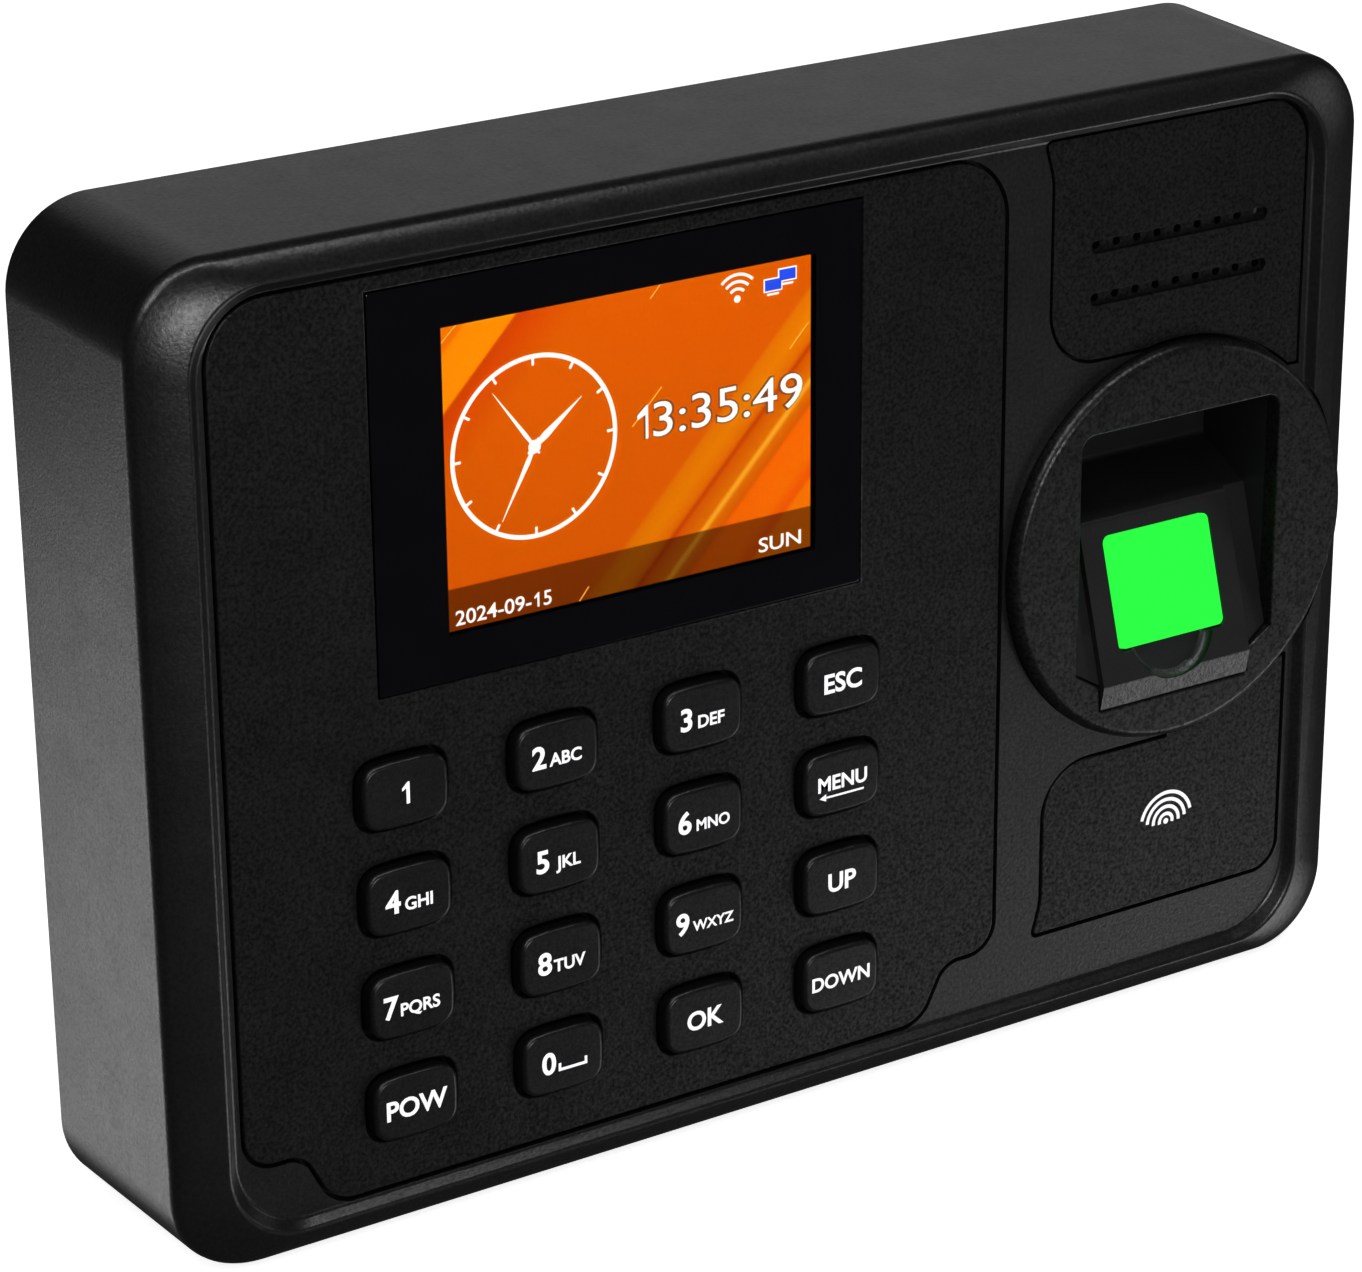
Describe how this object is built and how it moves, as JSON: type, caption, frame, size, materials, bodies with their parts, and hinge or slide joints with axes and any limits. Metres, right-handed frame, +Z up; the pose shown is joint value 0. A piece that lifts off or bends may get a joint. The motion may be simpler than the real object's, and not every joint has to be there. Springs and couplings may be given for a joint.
{
  "type": "fingerprint scanner terminal",
  "caption": "Flat black wall terminal with a colour display, a numeric key pad and a lit finger scanner in a round bezel; hangs on a steel wall plate.",
  "frame": {"origin": "middle of the wall plate's back face, where the terminal meets the wall", "axes": "+X to the right seen from the front, +Z up the wall, the front faces -Y and +Y points into the wall"},
  "size_m": [0.198, 0.0362, 0.142],
  "materials": {
    "housing": "fine-grained satin black ABS",
    "panel": "fine-grained matt black ABS",
    "keys": "satin black key caps with white legends",
    "sensor_plastic": "matt black, coarse grain on the apron",
    "lens": "glossy black acrylic with a clear picture window",
    "tape": "double-sided foam tape",
    "picture": "display glass showing an orange clock screen",
    "white_plastic": "white moulded plastic",
    "steel": "tinned and plain sheet steel",
    "flex": "amber polyimide lead",
    "rubber": "dark grey silicone rubber",
    "board": "green solder mask",
    "screws": "zinc-plated steel",
    "scan_glass": "scan window lit green from behind",
    "prism_glass": "clear optical prism",
    "black_parts": "black moulded components",
    "leds": "surface-mounted LEDs",
    "battery_wrap": "blue shrink wrap",
    "copper": "copper antenna film",
    "foam": "black foam",
    "zinc_plate": "zinc-plated steel sheet"
  },
  "bodies": {
    "terminal": {"front_cover": "housing", "key_panel": "panel", "speaker_grille": "panel", "badge_plate": "panel", "display_lens": "lens", "lens_tape": "tape", "display_glass": "picture", "display_backlight": "white_plastic", "display_frame": "steel", "display_flex": "flex", "key_mat": "rubber", "keypad_board": "board", "keypad_screws": "screws", "finger_bezel": "housing", "sensor_housing": "sensor_plastic", "scan_window": "scan_glass", "sensor_prism": "prism_glass", "sensor_board": "board", "sensor_camera": "black_parts", "sensor_leds": "leds", "sensor_screws": "screws", "main_board": "board", "board_chips": "black_parts", "network_socket": "steel", "usb_socket": "steel", "power_jack": "black_parts", "board_screws": "screws", "backup_battery": "battery_wrap", "wifi_antenna": "copper", "speaker_gasket": "foam", "speaker": "black_parts", "speaker_magnet": "steel", "speaker_screws": "screws", "tamper_switch": "black_parts", "rear_cover": "housing", "wall_plate": "zinc_plate", "case_screws": "screws", "security_screw": "screws"},
    "key_1": {"key_1": "keys"},
    "key_2": {"key_2": "keys"},
    "key_3": {"key_3": "keys"},
    "key_esc": {"key_esc": "keys"},
    "key_4": {"key_4": "keys"},
    "key_5": {"key_5": "keys"},
    "key_6": {"key_6": "keys"},
    "key_menu": {"key_menu": "keys"},
    "key_7": {"key_7": "keys"},
    "key_8": {"key_8": "keys"},
    "key_9": {"key_9": "keys"},
    "key_up": {"key_up": "keys"},
    "key_power": {"key_power": "keys"},
    "key_0": {"key_0": "keys"},
    "key_ok": {"key_ok": "keys"},
    "key_down": {"key_down": "keys"},
    "tamper_plunger": {"tamper_plunger": "white_plastic"}
  },
  "joints": [
    {"name": "press_key_1", "type": "slide", "parent": "terminal", "child": "key_1", "axis": [0, 1, 0], "range_m": [0, 0.001], "stiffness_N_per_m": 200},
    {"name": "press_key_2", "type": "slide", "parent": "terminal", "child": "key_2", "axis": [0, 1, 0], "range_m": [0, 0.001], "stiffness_N_per_m": 200},
    {"name": "press_key_3", "type": "slide", "parent": "terminal", "child": "key_3", "axis": [0, 1, 0], "range_m": [0, 0.001], "stiffness_N_per_m": 200},
    {"name": "press_key_esc", "type": "slide", "parent": "terminal", "child": "key_esc", "axis": [0, 1, 0], "range_m": [0, 0.001], "stiffness_N_per_m": 200},
    {"name": "press_key_4", "type": "slide", "parent": "terminal", "child": "key_4", "axis": [0, 1, 0], "range_m": [0, 0.001], "stiffness_N_per_m": 200},
    {"name": "press_key_5", "type": "slide", "parent": "terminal", "child": "key_5", "axis": [0, 1, 0], "range_m": [0, 0.001], "stiffness_N_per_m": 200},
    {"name": "press_key_6", "type": "slide", "parent": "terminal", "child": "key_6", "axis": [0, 1, 0], "range_m": [0, 0.001], "stiffness_N_per_m": 200},
    {"name": "press_key_menu", "type": "slide", "parent": "terminal", "child": "key_menu", "axis": [0, 1, 0], "range_m": [0, 0.001], "stiffness_N_per_m": 200},
    {"name": "press_key_7", "type": "slide", "parent": "terminal", "child": "key_7", "axis": [0, 1, 0], "range_m": [0, 0.001], "stiffness_N_per_m": 200},
    {"name": "press_key_8", "type": "slide", "parent": "terminal", "child": "key_8", "axis": [0, 1, 0], "range_m": [0, 0.001], "stiffness_N_per_m": 200},
    {"name": "press_key_9", "type": "slide", "parent": "terminal", "child": "key_9", "axis": [0, 1, 0], "range_m": [0, 0.001], "stiffness_N_per_m": 200},
    {"name": "press_key_up", "type": "slide", "parent": "terminal", "child": "key_up", "axis": [0, 1, 0], "range_m": [0, 0.001], "stiffness_N_per_m": 200},
    {"name": "press_key_power", "type": "slide", "parent": "terminal", "child": "key_power", "axis": [0, 1, 0], "range_m": [0, 0.001], "stiffness_N_per_m": 200},
    {"name": "press_key_0", "type": "slide", "parent": "terminal", "child": "key_0", "axis": [0, 1, 0], "range_m": [0, 0.001], "stiffness_N_per_m": 200},
    {"name": "press_key_ok", "type": "slide", "parent": "terminal", "child": "key_ok", "axis": [0, 1, 0], "range_m": [0, 0.001], "stiffness_N_per_m": 200},
    {"name": "press_key_down", "type": "slide", "parent": "terminal", "child": "key_down", "axis": [0, 1, 0], "range_m": [0, 0.001], "stiffness_N_per_m": 200},
    {"name": "tamper_out", "type": "slide", "parent": "terminal", "child": "tamper_plunger", "axis": [0, 1, 0], "range_m": [0, 0.0012], "stiffness_N_per_m": 20}
  ]
}
